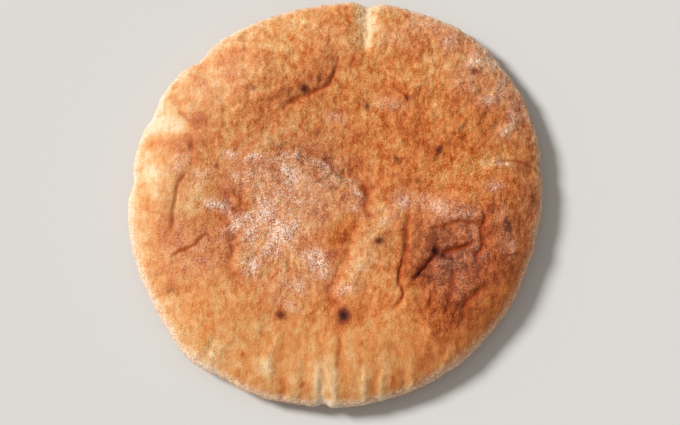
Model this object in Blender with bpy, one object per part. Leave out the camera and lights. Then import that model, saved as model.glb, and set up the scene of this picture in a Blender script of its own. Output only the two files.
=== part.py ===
"""A pita bread: one flat round loaf, puffed round its rim and creased where the middle sank as it cooled.

Metres, +Z up. The loaf stands on z = 0, with the middle of its box on the Z axis.
Run with: blender --background --python part.py
"""
import math

import bmesh
import bpy
from mathutils import Vector

MM = 0.001

# Driving dimensions
MEAN_DIAMETER = 171 * MM      # across the loaf, before the waves of its outline
RIM_HEIGHT = 6.5 * MM         # height of the widest line of the rim
CROWN_HEIGHT = 17.0 * MM      # height of the puffed ring
MIDDLE_HEIGHT = 14.0 * MM     # height of the sunken middle
SHOULDER_RADIUS = 59 * MM     # where the top crust starts to roll down to the rim
FLAT_RADIUS = 71 * MM         # edge of the flat underside
HOLLOW_RADIUS = 52 * MM       # the sunken middle rises to the crown over this radius

# Mesh: each crust starts as a square sheet, counted in rings from its middle to its edge
SHEET_RINGS = 26
TOP_ROLL_RINGS = 8            # outer rings of the top crust, from the shoulder to the rim
UNDERSIDE_ROLL_RINGS = 6      # outer rings of the underside, from its flat to the rim

# Waves of the outline: waves in a turn, height, direction of a crest in degrees
OUTLINE_WAVES = (
    (2, 2.3 * MM, 46),
    (3, 1.0 * MM, 43),
    (4, 0.6 * MM, 46),
)

# Dents in the rim (a bulge is a negative dent): direction in degrees, depth, half width in degrees
RIM_DENTS = (
    (9, 0.9 * MM, 4),
    (81, 1.8 * MM, 3),
    (134, 2.0 * MM, 4),
    (155, 1.6 * MM, 4),
    (175, 1.2 * MM, 4),
    (208, 1.0 * MM, 8),
    (228, -1.8 * MM, 6),
    (266, 1.6 * MM, 3),
    (349, 0.9 * MM, 3),
)

# Slow rise and fall of the rim's widest line: waves in a turn, height, direction of a crest in degrees
RIM_WAVES = (
    (3, 0.5 * MM, 20),
    (5, 0.3 * MM, 75),
)

# Swells of the top crust (a hollow is negative): place, height, radius
SWELLS = (
    (Vector((44, -21)) * MM, -4.5 * MM, 15 * MM),
    (Vector((50, -4)) * MM, 2.2 * MM, 8 * MM),
    (Vector((43, -28)) * MM, 2.6 * MM, 5 * MM),
    (Vector((-16, 6)) * MM, 1.8 * MM, 20 * MM),
    (Vector((17, 2)) * MM, -1.6 * MM, 9 * MM),
    (Vector((-32, 52)) * MM, 1.6 * MM, 20 * MM),
    (Vector((-74, 2)) * MM, 1.4 * MM, 11 * MM),
    (Vector((44, 42)) * MM, 1.2 * MM, 22 * MM),
    (Vector((2, -34)) * MM, -0.9 * MM, 9 * MM),
    (Vector((-40, -44)) * MM, 0.8 * MM, 22 * MM),
)

# Creases of the top crust: path, depth, half width, lip (height of the swollen side, on the left of the path)
CREASES = (
    (((-22, 38), (-10, 43), (-3, 48), (1, 57), (2, 62)), 1.6 * MM, 3.0 * MM, 1.4 * MM),
    (((13, 84), (12, 74), (10, 61)), 1.8 * MM, 3.0 * MM, 0.0),
    (((-78, 33), (-66, 34), (-60, 31)), 1.6 * MM, 3.2 * MM, 0.0),
    (((-67, -15), (-65, 0), (-62, 12), (-58, 24)), 2.0 * MM, 3.0 * MM, 1.2 * MM),
    (((-67, -24), (-60, -21), (-51, -15)), 0.8 * MM, 2.5 * MM, 0.0),
    (((25, -46), (26, -37), (28, -20), (28, -13), (29, -4)), 2.4 * MM, 3.0 * MM, 1.5 * MM),
    (((59, -4), (59, -17), (57, -30)), 1.6 * MM, 3.0 * MM, 0.8 * MM),
    (((30, -35), (36, -27), (40, -22), (40, -18)), 2.0 * MM, 2.6 * MM, 0.0),
    (((41, -23), (48, -20), (55, -18)), 1.6 * MM, 2.6 * MM, 0.0),
    (((40, -11), (48, -10), (59, -10)), 1.4 * MM, 2.6 * MM, 1.0 * MM),
    (((84, 11), (78, 15), (67, 16)), 1.4 * MM, 2.6 * MM, 0.0),
    (((10, -6), (12, 2), (5, 10), (-8, 18), (-21, 21)), 1.0 * MM, 3.2 * MM, 0.8 * MM),
    (((-2, -44), (-1, -34), (4, -17)), 1.0 * MM, 3.0 * MM, 0.0),
)

# Gathers that run down over one stretch of the rim
GATHER_MIDDLE = 268           # degrees
GATHER_HALF_WIDTH = 32        # degrees
GATHERS_IN_A_TURN = 48        # sets their spacing
GATHER_DEPTH = 0.5 * MM

CRUST_COLOUR = (0.62, 0.29, 0.12, 1.0)
CRUST_ROUGHNESS = 0.9


def clear_scene():
    for thing in list(bpy.data.objects):
        bpy.data.objects.remove(thing, do_unlink=True)


def smooth_step(value, low, high):
    """0 below low, 1 above high, and a smooth rise between them."""
    share = min(max((value - low) / (high - low), 0.0), 1.0)
    return share * share * (3.0 - 2.0 * share)


def turn_difference(a, b):
    """The angle from b to a in degrees, between -180 and 180."""
    return (a - b + 180.0) % 360.0 - 180.0


def waves(direction, table):
    """Sum of cosine waves round the loaf."""
    return sum(
        height * math.cos(math.radians(count * (direction - crest)))
        for count, height, crest in table
    )


def outline_radius(direction):
    """Radius of the widest line of the rim in a direction in degrees."""
    radius = MEAN_DIAMETER / 2 + waves(direction, OUTLINE_WAVES)
    for middle, depth, half_width in RIM_DENTS:
        radius -= depth * math.exp(-(turn_difference(direction, middle) / half_width) ** 2)
    return radius


def path_nearest(place, path):
    """Distance from a place to a path of straight pieces, the share of the path
    before the nearest point, and +1 on the left of the path or -1 on its right."""
    lengths = [(b - a).length for a, b in zip(path, path[1:])]
    travelled = 0.0
    best = (math.inf, 0.0, 1.0)
    for start, end, length in zip(path, path[1:], lengths):
        along = (end - start) / length
        offset = place - start
        reach = min(max(offset.dot(along), 0.0), length)
        distance = (offset - along * reach).length
        if distance < best[0]:
            side = 1.0 if along.x * offset.y - along.y * offset.x > 0 else -1.0
            best = (distance, (travelled + reach) / sum(lengths), side)
        travelled += length
    return best


def crease_relief(place, path, depth, half_width, lip):
    """A valley that fades out at both ends of its path, with a swollen lip on its left."""
    distance, share, side = path_nearest(place, path)
    strength = math.sqrt(max(math.sin(math.pi * share), 0.0))
    valley = -depth * math.exp(-(distance / half_width) ** 2)
    swelling = 0.0
    if side > 0:
        reach = distance / (2.5 * half_width)
        swelling = lip * 2.0 * reach * math.exp(0.5 - 2.0 * reach * reach)
    return strength * (valley + swelling)


def gather_relief(direction, radius_share):
    """Ridges and valleys across the rim, strongest where the crust rolls down."""
    near = math.exp(-(turn_difference(direction, GATHER_MIDDLE) / GATHER_HALF_WIDTH) ** 2)
    ripple = math.cos(math.radians(GATHERS_IN_A_TURN * direction))
    return GATHER_DEPTH * near * ripple * smooth_step(radius_share, 0.70, 0.92)


def build_creases():
    """Each crease's path as points in metres, with its sizes."""
    return [
        ([Vector(point) * MM for point in path], depth, half_width, lip)
        for path, depth, half_width, lip in CREASES
    ]


def crust_relief(place, direction, radius_share, creases):
    """Height that the swells, creases and gathers add to the smooth top crust."""
    relief = gather_relief(direction, radius_share)
    for middle, height, radius in SWELLS:
        relief += height * math.exp(-((place - middle).length / radius) ** 2)
    for crease in creases:
        relief += crease_relief(place, *crease)
    return relief


def sheet_to_disc(a, b):
    """Turns a place on a square sheet (-1 to 1 each way) into a ring number from 0 to 1
    and a direction in degrees: each square ring of the sheet becomes a circle."""
    if abs(a) < 1e-9 and abs(b) < 1e-9:
        return 0.0, 0.0
    if abs(a) > abs(b):
        ring = abs(a)
        direction = 45.0 * b / a + (180.0 if a < 0 else 0.0)
    else:
        ring = abs(b)
        direction = 90.0 - 45.0 * a / b + (180.0 if b < 0 else 0.0)
    return ring, direction % 360.0


def split_ring(ring, roll_rings):
    """Share of the level part that lies inside a ring, and the angle that the crust has
    rolled over by there: 0 at the shoulder and a quarter turn at the rim."""
    level_share = 1.0 - roll_rings / SHEET_RINGS
    angle = 0.5 * math.pi * max(ring - level_share, 0.0) / (1.0 - level_share)
    return min(ring / level_share, 1.0), angle


def top_place(a, b, creases):
    """A point of the top crust: nearly level inside the shoulder, then a quarter of an
    ellipse that rolls down to the rim."""
    ring, direction = sheet_to_disc(a, b)
    rim_radius = outline_radius(direction)
    mean_radius = MEAN_DIAMETER / 2
    share, angle = split_ring(ring, TOP_ROLL_RINGS)
    radius = SHOULDER_RADIUS * share + (mean_radius - SHOULDER_RADIUS) * math.sin(angle)
    radius_share = radius / mean_radius
    radius *= 1.0 + (rim_radius / mean_radius - 1.0) * smooth_step(radius_share, 0.35, 1.0)
    heading = Vector((math.cos(math.radians(direction)), math.sin(math.radians(direction))))
    place = heading * radius
    crown = MIDDLE_HEIGHT + (CROWN_HEIGHT - MIDDLE_HEIGHT) * smooth_step(radius, 0.0, HOLLOW_RADIUS)
    crown += crust_relief(place, direction, radius_share, creases)
    rim = RIM_HEIGHT + waves(direction, RIM_WAVES)
    return Vector((place.x, place.y, rim + (crown - rim) * math.cos(angle)))


def underside_place(a, b):
    """A point of the underside: level inside its flat, then a quarter of an ellipse up to the rim."""
    ring, direction = sheet_to_disc(a, b)
    rim_radius = outline_radius(direction)
    flat_radius = FLAT_RADIUS * rim_radius / (MEAN_DIAMETER / 2)
    share, angle = split_ring(ring, UNDERSIDE_ROLL_RINGS)
    radius = flat_radius * share + (rim_radius - flat_radius) * math.sin(angle)
    height = (RIM_HEIGHT + waves(direction, RIM_WAVES)) * (1.0 - math.cos(angle))
    heading = Vector((math.cos(math.radians(direction)), math.sin(math.radians(direction)), 0.0))
    return heading * radius + Vector((0.0, 0.0, height))


def add_sheet(mesh, place_of):
    """A square sheet of faces with every vertex moved to place_of(a, b); returns its faces."""
    squares = 2 * SHEET_RINGS
    sheet = bmesh.ops.create_grid(mesh, x_segments=squares, y_segments=squares, size=1.0)["verts"]
    for vertex in sheet:
        vertex.co = place_of(vertex.co.x, vertex.co.y)
    return list({face for vertex in sheet for face in vertex.link_faces})


def build_loaf_mesh():
    """The two crusts as sheets that end on the same rim, merged there into one closed body."""
    mesh = bmesh.new()
    creases = build_creases()
    add_sheet(mesh, lambda a, b: top_place(a, b, creases))
    underside = add_sheet(mesh, underside_place)
    bmesh.ops.reverse_faces(mesh, faces=underside)
    rim = [vertex for vertex in mesh.verts if vertex.is_boundary]
    bmesh.ops.remove_doubles(mesh, verts=rim, dist=0.01 * MM)
    centre_on_axis(mesh)
    data = bpy.data.meshes.new("pita_bread")
    mesh.to_mesh(data)
    mesh.free()
    data.shade_smooth()
    return data


def centre_on_axis(mesh):
    """Moves the loaf so that the middle of its box is on the Z axis."""
    xs = [vertex.co.x for vertex in mesh.verts]
    ys = [vertex.co.y for vertex in mesh.verts]
    middle = Vector(((min(xs) + max(xs)) / 2, (min(ys) + max(ys)) / 2, 0.0))
    bmesh.ops.translate(mesh, verts=mesh.verts, vec=-middle)


def crust_material():
    material = bpy.data.materials.new("baked_crust")
    material.use_nodes = True
    shader = material.node_tree.nodes["Principled BSDF"]
    shader.inputs["Base Color"].default_value = CRUST_COLOUR
    shader.inputs["Roughness"].default_value = CRUST_ROUGHNESS
    shader.inputs["Metallic"].default_value = 0.0
    return material


def main():
    clear_scene()
    collection = bpy.data.collections.new("pita bread")
    bpy.context.scene.collection.children.link(collection)
    loaf = bpy.data.objects.new("pita_bread", build_loaf_mesh())
    loaf.data.materials.append(crust_material())
    collection.objects.link(loaf)


main()
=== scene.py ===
import math

import bpy
import numpy as np
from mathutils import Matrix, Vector


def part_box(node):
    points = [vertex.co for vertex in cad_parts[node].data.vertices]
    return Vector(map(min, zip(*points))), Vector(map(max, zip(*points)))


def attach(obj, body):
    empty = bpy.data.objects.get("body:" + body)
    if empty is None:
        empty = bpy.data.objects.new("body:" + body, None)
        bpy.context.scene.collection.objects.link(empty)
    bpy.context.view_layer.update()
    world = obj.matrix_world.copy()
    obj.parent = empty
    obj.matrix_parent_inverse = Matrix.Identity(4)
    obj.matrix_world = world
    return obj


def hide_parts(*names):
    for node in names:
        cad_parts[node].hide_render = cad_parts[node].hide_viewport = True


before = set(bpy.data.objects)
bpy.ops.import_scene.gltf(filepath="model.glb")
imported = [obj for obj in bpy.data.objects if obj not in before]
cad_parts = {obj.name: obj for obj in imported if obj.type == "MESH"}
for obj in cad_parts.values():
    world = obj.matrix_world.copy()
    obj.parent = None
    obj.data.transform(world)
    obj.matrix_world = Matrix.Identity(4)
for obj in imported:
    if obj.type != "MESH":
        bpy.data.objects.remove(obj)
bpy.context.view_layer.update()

breadLow, breadHigh = (np.array(corner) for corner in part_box("pita_bread"))
breadSize = breadHigh - breadLow
mm = breadSize[0] / 170  # a millimetre on a bread 170 mm across; sizes below are in millimetres


# Numbers shared by every surface

def smoothStep(value, low, high):
    # 0 below low, 1 above high, and 3t^2 - 2t^3 between them
    share = np.clip((value - low) / (high - low), 0, 1)
    return share * share * (3 - 2 * share)


def bell(distance, width):
    # A bell curve: 1 at no distance, and e to the power of minus the square of distance over width
    return np.exp(-(distance / width) ** 2)


def roundBell(points, x, y, width):
    # The bell curve of the distance from this place, seen from above
    return bell(np.hypot(points[:, 0] - x, points[:, 1] - y), width)


def compass(direction):
    # The unit vector that points in each direction
    turn = np.radians(direction)
    return np.column_stack([np.cos(turn), np.sin(turn)])


def turnGap(direction, middle):
    # The angle from middle to direction in degrees, from -180 to 180
    return (direction - middle + 180) % 360 - 180


def gradientNoise(points, size, seed):
    # A lattice of this size holds a random slope at each corner; a place takes the eight round it,
    # blended by a quintic fade, so the result is smooth and lies between about -1 and 1
    rng = np.random.default_rng(seed)
    order = rng.permutation(256)
    slopes = rng.normal(size=(256, 3))
    slopes /= np.linalg.norm(slopes, axis=1)[:, None]
    places = points / size + rng.uniform(0, 50, 3)
    cell = np.floor(places).astype(int)
    part = places - cell
    fade = part ** 3 * (part * (part * 6 - 15) + 10)
    total = np.zeros(len(points))
    for corner in np.ndindex(2, 2, 2):
        key = (cell + corner) & 255
        slope = slopes[order[(order[(order[key[:, 0]] + key[:, 1]) & 255] + key[:, 2]) & 255]]
        weight = np.where(corner, fade, 1 - fade).prod(axis=1)
        total += weight * (slope * (part - corner)).sum(axis=1)
    return total * 1.7


def layeredNoise(points, size, seed, layers=3, falloff=0.5):
    # Gradient noise summed over layers, each half the size of the last and weaker by the falloff
    total = sum(gradientNoise(points, size / 2 ** i, seed + i) * falloff ** i for i in range(layers))
    return total / math.sqrt(sum(falloff ** (2 * i) for i in range(layers)))


def jitteredCells(points, size, seed):
    # One seed point in each square of a lattice; gives how much nearer the closest is than the next
    # (0 on the border of a cell), and a random number that belongs to the closest
    places = points[:, :2] / size
    cell = np.floor(places).astype(int)
    first = np.full(len(points), 9.0)
    second = np.full(len(points), 9.0)
    owner = np.zeros(len(points))
    table = np.random.default_rng(seed).random((64, 64, 3))
    for step in np.ndindex(3, 3):
        key = cell + step - 1
        entry = table[key[:, 0] % 64, key[:, 1] % 64]
        distance = np.linalg.norm(key + 0.1 + 0.8 * entry[:, :2] - places, axis=1)
        closer = distance < first
        second = np.where(closer, first, np.minimum(second, distance))
        owner = np.where(closer, entry[:, 2], owner)
        first = np.where(closer, distance, first)
    return second - first, owner


def smoothPath(points, steps=6):
    # A curve through the points: on each stretch the cubic whose end slopes are half the gap
    # between the points on either side
    points = np.array(points, float)
    padded = np.vstack([2 * points[0] - points[1], points, 2 * points[-1] - points[-2]])
    t = np.linspace(0, 1, steps, endpoint=False)[:, None]
    pieces = []
    for before, start, end, after in zip(padded, padded[1:], padded[2:], padded[3:]):
        slopeIn, slopeOut = (end - before) / 2, (after - start) / 2
        pieces.append(
            (2 * t ** 3 - 3 * t ** 2 + 1) * start + (t ** 3 - 2 * t ** 2 + t) * slopeIn
            + (3 * t ** 2 - 2 * t ** 3) * end + (t ** 3 - t ** 2) * slopeOut
        )
    return np.vstack(pieces + [points[-1:]])


def nearPath(places, path):
    # For every place: distance to the nearest stretch of the path, +1 on its left or -1 on its right,
    # and the share of the path's length that lies before the nearest point
    step = np.diff(path, axis=0)
    length = np.linalg.norm(step, axis=1)
    offset = places[:, None] - path[:-1]
    reach = np.clip((offset * step).sum(axis=2) / length ** 2, 0, 1)
    distance = np.linalg.norm(offset - reach[..., None] * step, axis=2)
    nearest = distance.argmin(axis=1)
    rows = np.arange(len(places))
    cross = step[nearest, 0] * offset[rows, nearest, 1] - step[nearest, 1] * offset[rows, nearest, 0]
    travelled = (np.cumsum(length) - length)[nearest] + reach[rows, nearest] * length[nearest]
    return distance[rows, nearest], np.where(cross > 0, 1.0, -1.0), travelled / length.sum()


# The loaf's form

loaf = {
    "rings": 136,            # rings of faces from the top's middle over the rim to the flat underside
    "levelRings": 84,        # of those, the rings inside the shoulder
    "rollRings": 38,         # and the rings from the shoulder down to the widest line of the rim
    "undersideRings": 68,
    "meanRadius": 85.5,
    "rimHeight": 6.5,
    "crownHeight": 17.0,
    "middleHeight": 14.0,
    "shoulderRadius": 59.0,
    "flatRadius": 71.0,
    "hollowRadius": 52.0,
    # waves in a turn, height, direction of a crest in degrees
    "outlineWaves": [(2, 2.3, 46), (3, 1.0, 43), (4, 0.6, 46)],
    "rimWaves": [(3, 0.5, 20), (5, 0.3, 75)],
    # direction in degrees, depth (a bulge is negative), half width in degrees
    "rimDents": [
        (9, 0.9, 3), (81, 1.9, 2.4), (134, 2.0, 3), (155, 1.6, 3.5), (175, 1.2, 3), (208, 1.0, 8),
        (228, -1.8, 6), (266, 1.6, 1.8), (301, 0.5, 3), (349, 0.9, 3),
    ],
    # x, y, height (a hollow is negative), radius
    "swells": [
        (44, -22, -3.6, 15), (50, -5, 2.0, 7), (43.5, -28.5, 2.4, 4.5), (-16, 5, 1.6, 20),
        (15, 1, -1.2, 7), (14.5, -15, 1.2, 6), (-32, 50, 1.5, 18), (-74, 0, 1.3, 10), (44, 42, 1.1, 22),
        (2, -36, -0.8, 9), (-40, -46, 0.8, 22), (-57, -1, 0.7, 5), (6, -36, 0.7, 4), (62, -30, 0.9, 9),
        (70, 2, 0.9, 9), (69, -13, 0.8, 8), (80, -9, -1.6, 8), (80, 14, -1.3, 8), (77, 30, -0.9, 7),
        (-5, 66, 1.0, 12), (-11, 38.5, 0.9, 6), (-20, 32.5, 0.8, 5), (30, 66, 0.8, 14),
    ],
}


def waveSum(direction, table):
    # Cosine waves round the loaf, added up
    return sum(
        height * np.cos(np.radians(count * (direction - crest))) for count, height, crest in table
    )


def outlineRadius(direction):
    # Mean radius plus the waves, less a bell-shaped dent at each dented direction
    dents = sum(
        depth * bell(turnGap(direction, middle), width) for middle, depth, width in loaf["rimDents"]
    )
    return loaf["meanRadius"] + waveSum(direction, loaf["outlineWaves"]) - dents


# The lines where the crust folded: path, depth and half width of the valley, height and width of the
# swollen left side, how much browner the sides are (partly browning of the crust and partly painted
# shade; paler where it is negative), how dark red the bottom is (painted shade), and how charred.
# The last ones are 0 where an entry leaves them out
creaseParts = ("path", "depth", "width", "lip", "lipWidth", "brown", "core", "char")
creases = {
    "upperArc": (
        [(-25, 33), (-22.5, 37), (-16, 40.4), (-9, 44), (-4.5, 45.8), (-1.5, 49.5), (0.5, 56),
         (1.8, 61)],
        0.7, 1.0, 1.1, 9.0, 0.1, 0.75,
    ),
    "topNotch": ([(13.5, 92), (13, 78), (12.4, 68), (11, 57)], 2.2, 3.8, 0.8, 3.0, -0.46),
    "topFold": ([(8.5, 62), (7.2, 58), (5.5, 53)], 0.5, 0.8, 0.3, 2.0, 0.06, 0.35),
    "shortFold": ([(22, 47), (26, 44), (29, 41.2), (30.5, 38)], 0.5, 0.9, 0.4, 3.0, 0.08, 0.3),
    "leftNotch": ([(-88, 33), (-79, 31.5), (-69, 31), (-60, 29)], 1.3, 4.0, 0.6, 3.0, -0.2),
    "leftNotchTop": (
        [(-61.5, 27.5), (-59.8, 23), (-58.6, 18), (-58.8, 13), (-60.2, 9.5)],
        0.35, 1.3, 0.3, 2.5, 0.16, 0.2,
    ),
    "rimArc": (
        [(-67, 36.2), (-64.5, 35.2), (-62, 33.4), (-59.4, 30.8), (-57.5, 28)],
        0.25, 0.8, 0.2, 2.0, 0.14, 0.25,
    ),
    "leftFold": (
        [(-67.2, -17), (-66.4, -11), (-66.3, -7), (-65.6, -2), (-64.9, 2), (-63.4, 6), (-61.6, 9.5),
         (-60.4, 13)],
        0.35, 0.7, 0.7, 5.0, 0.06, 0.7,
    ),
    "leftCrack": (
        [(-68.5, -26.5), (-66, -24.3), (-63.5, -22.8), (-60.5, -22), (-57.5, -20.5), (-54.5, -17.3),
         (-50.8, -15)],
        0.32, 0.4, 0.2, 2.0, 0.04, 0.85,
    ),
    "hollowLeft": (
        [(30, 0), (28.8, -6), (28.2, -10.5), (28.2, -14.8), (28.3, -21), (26.2, -28), (24.8, -35),
         (26, -38.5), (27, -41.5), (24, -45.5), (20, -50)],
        1.3, 0.75, 0.9, 2.4, 0.12, 0.95, 0.14,
    ),
    "hollowRight": (
        [(58, -2), (58.8, -5.7), (59.9, -10), (58.7, -13.5), (59.5, -18.5), (58.7, -22), (57, -24.5),
         (56.5, -29)],
        1.25, 0.75, 0.8, 3.5, 0.1, 1.0, 0.08,
    ),
    "hollowCorner": ([(60, -36), (57.4, -39.3), (53.2, -43), (50, -48)], 0.9, 0.9, 0.3, 2.5, 0.1, 0.75),
    "scorchLow": (
        [(29.5, -37), (31.5, -34.4), (33.6, -31.8), (35.6, -29.6), (38, -26.4), (39.8, -23.6),
         (39.9, -20.8), (39.3, -17.6)],
        1.3, 0.95, 0.5, 2.5, 0.12, 1.0, 0.32,
    ),
    "scorchHigh": (
        [(41.5, -25), (43.6, -23.7), (46.2, -22), (49.2, -21.4), (53.2, -20.4), (57, -19)],
        1.1, 0.8, 0.7, 3.0, 0.1, 1.0, 0.1,
    ),
    "scorchSide": (
        [(41.5, -23.5), (43.5, -24.4), (45.6, -25.2), (47.5, -26.4), (49, -28.2)],
        0.25, 1.0, 0.0, 2.0, 0.06, 0.15,
    ),
    "hollowTop": (
        [(36, -14.5), (40, -12.8), (44, -11.8), (48, -11), (52, -10.8), (55.5, -10.8), (60, -11.5)],
        0.4, 0.7, 0.35, 3.5, 0.06, 0.45,
    ),
    "streakOne": ([(38.5, -38), (37.8, -42), (37.2, -48)], 0.6, 0.9, 0.2, 2.0, 0.1, 0.6),
    "streakTwo": (
        [(45.5, -27), (46.9, -31), (47, -37), (45.5, -44), (43.5, -52)],
        0.6, 1.0, 0.3, 2.0, 0.1, 0.55,
    ),
    "streakThree": ([(52, -40), (51.8, -45), (50.5, -52)], 0.5, 0.9, 0.2, 2.0, 0.08, 0.45),
    "rightLine": (
        [(87, 8), (84.5, 10), (82.5, 11.6), (80.5, 13), (78, 13.9), (75, 14.2), (72, 15), (68, 15.4),
         (63, 13.4)],
        0.6, 0.45, 0.25, 2.5, 0.05, 0.7,
    ),
    "plateauEdge": (
        [(10.6, 4), (9.6, 7), (5, 9.3), (0, 11.3), (-5, 15.6), (-9, 18.2), (-14, 20.3), (-22, 20.6),
         (-31, 21.5)],
        0.6, 1.1, -0.4, 5.0, 0.08, 0.3,
    ),
    "edgeNotch": (
        [(9.8, 8.5), (11, 4), (12.3, 0), (11.4, -4.5), (13.5, -8.5), (16, -11)],
        0.9, 1.1, 0.9, 4.0, 0.14, 0.8,
    ),
    "edgeBranch": ([(18.5, 7.5), (16.5, 5), (14.2, 2.6), (13, 0)], 0.3, 0.7, 0.3, 2.5, 0.06, 0.35),
    "plateauGroove": (
        [(-39.5, 20), (-38.6, 13), (-38.3, 5), (-38.6, -2), (-41, -7), (-43, -10)],
        0.35, 0.9, 0.3, 3.0, 0.03, 0.12,
    ),
    "plateauLeft": (
        [(-48, 8), (-46.3, 2), (-44.5, -2.5), (-41.5, -6), (-37, -12)],
        0.35, 0.8, 0.3, 2.5, 0.08, 0.25,
    ),
    "plateauLow": (
        [(-45, -13), (-42.5, -17), (-41.5, -22), (-43.5, -28), (-41, -33), (-39, -38)],
        0.6, 1.6, 0.5, 3.0, 0.08, 0.15,
    ),
    "middleFold": (
        [(10.5, -9), (7.5, -12.5), (6, -17), (5, -22), (2.5, -28), (0.5, -32), (-1, -36), (-2, -40),
         (-1.5, -45), (-3, -52)],
        0.6, 1.5, 1.0, 5.0, 0.12, 0.22,
    ),
    "lowerValley": ([(0.6, -74), (1, -68), (1.2, -62), (1.6, -53)], 0.4, 0.9, 0.15, 3.0, 0.04, 0.12),
    "lowLeftFold": ([(-57, -76), (-53.5, -70), (-51, -63), (-48, -56)], 0.9, 1.8, 0.4, 3.0, -0.08),
    "lowRightFold": ([(27.8, -88), (27.6, -82), (27, -76), (26, -70)], 0.7, 1.3, 0.2, 3.0),
    "underNotch": ([(-5.6, -92), (-5.6, -86), (-5.9, -80), (-6.2, -74)], 1.0, 1.2, 0.0, 2.0, -0.04),
}


def creaseRelief(places, crease):
    # A valley with a rounded bottom along the path and a swollen lip on its left, both fading out
    # over the first and last stretch of the path; also gives how near each place is to the valley's
    # sides and to the line at its bottom
    curve = smoothPath(crease["path"])
    relief, sides, core = np.zeros((3, len(places)))
    reach = 4 * crease["lipWidth"]
    near = np.all((places > curve.min(axis=0) - reach) & (places < curve.max(axis=0) + reach), axis=1)
    distance, side, share = nearPath(places[near], curve)
    strength = smoothStep(share, 0, 0.22) * smoothStep(1 - share, 0, 0.22)
    far = distance / crease["lipWidth"]
    swelling = np.where(side > 0, crease["lip"] * far * np.exp(1 - far), 0)
    valley = crease["depth"] * np.exp(-(distance / crease["width"]) ** 1.5)
    relief[near] = strength * (swelling - valley)
    sides[near] = strength * bell(distance, 1.5 * crease["width"])
    lopsided = distance * np.where(side > 0, 0.65, 1.25)
    core[near] = strength * bell(lopsided, 0.4 + 0.45 * crease["width"])
    return relief, sides, core


def discGrid(rings):
    # A square sheet bent into a disc: its square rings become circles. Gives each vertex's ring number
    # and direction in degrees, the faces, and the outermost vertices anticlockwise from above
    steps = np.arange(-rings, rings + 1)
    across, up = (axis.ravel().astype(float) for axis in np.meshgrid(steps, steps))
    wide = np.abs(across) > np.abs(up)
    ring = np.maximum(np.abs(across), np.abs(up))
    along = np.where(wide, up, across) / np.where(wide, across, np.where(up == 0, 1, up))
    direction = np.where(
        wide,
        45 * along + np.where(across < 0, 180, 0),
        90 - 45 * along + np.where(up < 0, 180, 0),
    )
    width = 2 * rings + 1
    index = np.arange(width * width).reshape(width, width)
    quads = np.stack([index[:-1, :-1], index[:-1, 1:], index[1:, 1:], index[1:, :-1]], axis=-1)
    edge = np.concatenate([index[0, :-1], index[:-1, -1], index[-1, :0:-1], index[:0:-1, 0]])
    return ring, direction % 360, quads.reshape(-1, 4), edge


def evenAngles(rings, wide, tall, start):
    # Angles along a quarter of an ellipse, at even distances along its arc
    fine = np.linspace(start, start + math.pi / 2, 200)
    steps = np.hypot(wide * np.diff(np.sin(fine)), tall * np.diff(np.cos(fine)))
    arc = np.concatenate([[0], np.cumsum(steps)])
    return np.interp(np.linspace(0, arc[-1], rings + 1), arc, fine)


def crustSection():
    # The loaf's section, ring by ring: the share of the level part inside the ring, and the angle that
    # the crust has rolled over by: 0 to the shoulder, a quarter turn at the widest line, half below
    level, roll = loaf["levelRings"], loaf["rollRings"]
    tuck = loaf["rings"] - level - roll
    down = evenAngles(
        roll, loaf["meanRadius"] - loaf["shoulderRadius"], loaf["crownHeight"] - loaf["rimHeight"], 0
    )
    under = evenAngles(tuck, loaf["meanRadius"] - loaf["flatRadius"], loaf["rimHeight"], math.pi / 2)
    share = np.minimum(np.arange(loaf["rings"] + 1) / level, 1)
    angle = np.concatenate([np.zeros(level), down, under[1:]])
    return share, angle


def crustPlaces(ring, direction):
    # Each ring of the section carried round the outline. Above the widest line the height is that of
    # the crown with its swells and creases, brought down to the rim by the cosine of the roll
    shares, angles = crustSection()
    share, angle = shares[ring.astype(int)], angles[ring.astype(int)]
    mean, rim = loaf["meanRadius"], loaf["rimHeight"] + waveSum(direction, loaf["rimWaves"])
    inner = np.where(angle > math.pi / 2, loaf["flatRadius"], loaf["shoulderRadius"])
    radius = np.where(angle > 0, inner, inner * share) + (mean - inner) * np.sin(angle)
    radius = radius * (1 + (outlineRadius(direction) / mean - 1) * smoothStep(radius / mean, 0.35, 1))
    places = radius[:, None] * compass(direction)
    flatPlaces = np.column_stack([places, np.zeros(len(places))])
    wobble = np.stack([layeredNoise(flatPlaces, 6, seed, 3, 0.6) for seed in (11, 21)], axis=1)
    rise = smoothStep(radius, 0, loaf["hollowRadius"])
    crown = loaf["middleHeight"] + (loaf["crownHeight"] - loaf["middleHeight"]) * rise
    for x, y, height, width in loaf["swells"]:
        crown = crown + height * roundBell(places, x, y, width)
    folds = {kind: np.zeros(len(places)) for kind in ("brown", "core", "char")}
    for parts in creases.values():
        crease = dict.fromkeys(creaseParts, 0.0) | dict(zip(creaseParts, parts))
        relief, sides, core = creaseRelief(places + 0.7 * wobble, crease)
        crown = crown + relief
        folds["brown"] += crease["brown"] * sides * (angle < math.pi / 2)
        for kind in ("core", "char"):
            folds[kind] = np.maximum(folds[kind], crease[kind] * core * (angle < math.pi / 2))
    top = rim + (crown - rim) * np.cos(angle)
    height = np.where(angle > math.pi / 2, rim * (1 + np.cos(angle)), top)
    return np.column_stack([places, height]), angle, folds


def undersidePlaces(ring, direction):
    # A level disc that ends just inside the tucked edge of the crust
    share = ring / loaf["undersideRings"] * (1 - 1 / loaf["undersideRings"])
    radius = loaf["flatRadius"] * share * outlineRadius(direction) / loaf["meanRadius"]
    return np.column_stack([radius[:, None] * compass(direction), np.zeros(len(ring))])


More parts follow.
